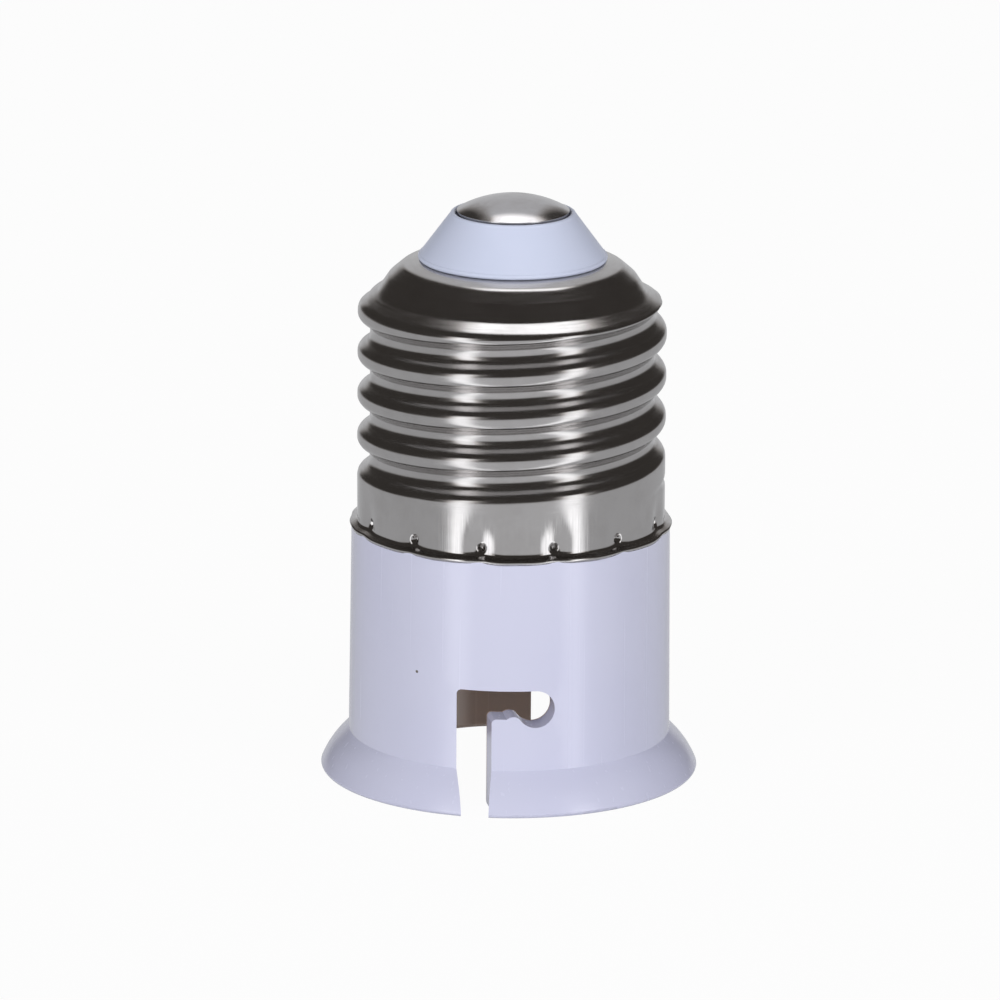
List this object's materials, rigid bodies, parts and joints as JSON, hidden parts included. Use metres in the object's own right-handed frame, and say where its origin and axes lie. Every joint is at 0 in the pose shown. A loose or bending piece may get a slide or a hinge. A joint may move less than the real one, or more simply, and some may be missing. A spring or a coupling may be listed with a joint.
{
  "type": "lamp socket adapter",
  "caption": "Adapter with a rolled screw cap above and a bayonet lamp socket with J slots, a flared rim and sprung contacts below.",
  "frame": {"origin": "centre of the socket's mouth, on the plane that the flared rim stands on", "axes": "+Z along the axis towards the tip contact, +Y and -Y through the two pin pockets, +X through the right plunger"},
  "size_m": [0.032, 0.032, 0.05],
  "materials": {
    "white_moulding": "glossy white moulded plastic",
    "nickel_sheet": "satin nickel plate on rolled sheet",
    "tip_moulding": "glossy bluish white moulded plastic",
    "contact_metal": "satin nickel plate",
    "carrier_moulding": "dark brown moulded phenolic",
    "brass": "turned and drawn brass",
    "spring_steel": "bright drawn spring wire",
    "tag_brass": "stamped brass sheet",
    "screw_steel": "zinc plated steel",
    "tinned_wire": "tinned copper wire",
    "solder": "dull soft solder"
  },
  "bodies": {
    "housing": {"body": "white_moulding", "screw_shell": "nickel_sheet", "tip_insulator": "tip_moulding", "centre_contact": "contact_metal", "contact_carrier": "carrier_moulding", "left_sleeve": "brass", "right_sleeve": "brass", "left_spring": "spring_steel", "right_spring": "spring_steel", "left_terminal": "tag_brass", "right_terminal": "tag_brass", "front_screw": "screw_steel", "rear_screw": "screw_steel", "centre_tag": "tag_brass", "centre_lead": "tinned_wire", "shell_lead": "tinned_wire", "centre_solder": "solder", "left_solder": "solder", "right_solder": "solder"},
    "left_contact": {"left_plunger": "brass"},
    "right_contact": {"right_plunger": "brass"}
  },
  "joints": [
    {"name": "left_plunger_slide", "type": "slide", "parent": "housing", "child": "left_contact", "axis": [0, 0, 1], "range_m": [0, 0.004], "stiffness_N_per_m": 900, "deforming": ["left_spring"]},
    {"name": "right_plunger_slide", "type": "slide", "parent": "housing", "child": "right_contact", "axis": [0, 0, 1], "range_m": [0, 0.004], "stiffness_N_per_m": 900, "deforming": ["right_spring"]}
  ]
}
